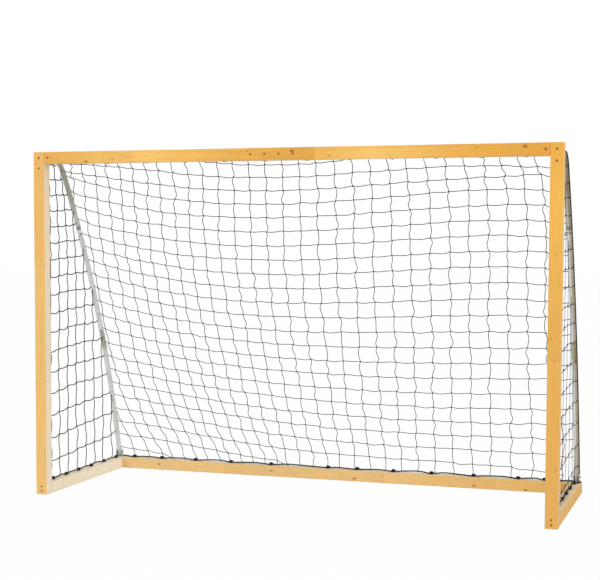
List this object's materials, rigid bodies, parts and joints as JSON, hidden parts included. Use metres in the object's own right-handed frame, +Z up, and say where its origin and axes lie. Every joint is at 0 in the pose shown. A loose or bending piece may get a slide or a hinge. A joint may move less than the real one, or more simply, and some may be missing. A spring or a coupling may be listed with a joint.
{
  "type": "soccer goal",
  "caption": "Free-standing timber goal frame with bent steel tube stays, side and rear ground rails, and a knotted net tied to the rails.",
  "frame": {"origin": "middle of the goal's rectangular footprint, on the ground", "axes": "+X along the crossbar to the goal's right as seen by a player who shoots at it, +Y from the open mouth to the rear rail, +Z up"},
  "size_m": [3.04, 1.1, 2],
  "materials": {
    "pine": "clear lacquered finger-jointed pine, warm orange-yellow, satin",
    "galvanised_steel": "galvanised tube and plate, dull grey with a soft sheen",
    "zinc_fasteners": "zinc-plated screws, bolts and nuts",
    "net_twine": "black braided net twine, matt",
    "border_rope": "black border rope with its knots, matt"
  },
  "bodies": {
    "root": {"back_net": "net_twine", "crossbar_left_half": "pine", "crossbar_right_half": "pine", "ground_rope": "border_rope", "head_rope": "border_rope", "left_bracket_screw": "zinc_fasteners", "left_corner_bracket": "galvanised_steel", "left_corner_screw_a": "zinc_fasteners", "left_corner_screw_b": "zinc_fasteners", "left_corner_screw_c": "zinc_fasteners", "left_foot_bolt": "zinc_fasteners", "left_foot_bracket": "galvanised_steel", "left_foot_nut": "zinc_fasteners", "left_foot_screw_a": "zinc_fasteners", "left_foot_screw_b": "zinc_fasteners", "left_lower_joint_screw": "zinc_fasteners", "left_post": "pine", "left_rear_screw_a": "zinc_fasteners", "left_rear_screw_b": "zinc_fasteners", "left_side_net": "net_twine", "left_side_rail": "pine", "left_stay_lower": "galvanised_steel", "left_stay_middle": "galvanised_steel", "left_stay_upper": "galvanised_steel", "left_upper_joint_screw": "zinc_fasteners", "rear_rail": "pine", "right_bracket_screw": "zinc_fasteners", "right_corner_bracket": "galvanised_steel", "right_corner_screw_a": "zinc_fasteners", "right_corner_screw_b": "zinc_fasteners", "right_corner_screw_c": "zinc_fasteners", "right_foot_bolt": "zinc_fasteners", "right_foot_bracket": "galvanised_steel", "right_foot_nut": "zinc_fasteners", "right_foot_screw_a": "zinc_fasteners", "right_foot_screw_b": "zinc_fasteners", "right_lower_joint_screw": "zinc_fasteners", "right_post": "pine", "right_rear_screw_a": "zinc_fasteners", "right_rear_screw_b": "zinc_fasteners", "right_side_net": "net_twine", "right_side_rail": "pine", "right_stay_lower": "galvanised_steel", "right_stay_middle": "galvanised_steel", "right_stay_upper": "galvanised_steel", "right_upper_joint_screw": "zinc_fasteners", "splice_screw_1": "zinc_fasteners", "splice_screw_2": "zinc_fasteners", "splice_screw_3": "zinc_fasteners", "splice_screw_4": "zinc_fasteners"}
  },
  "joints": []
}
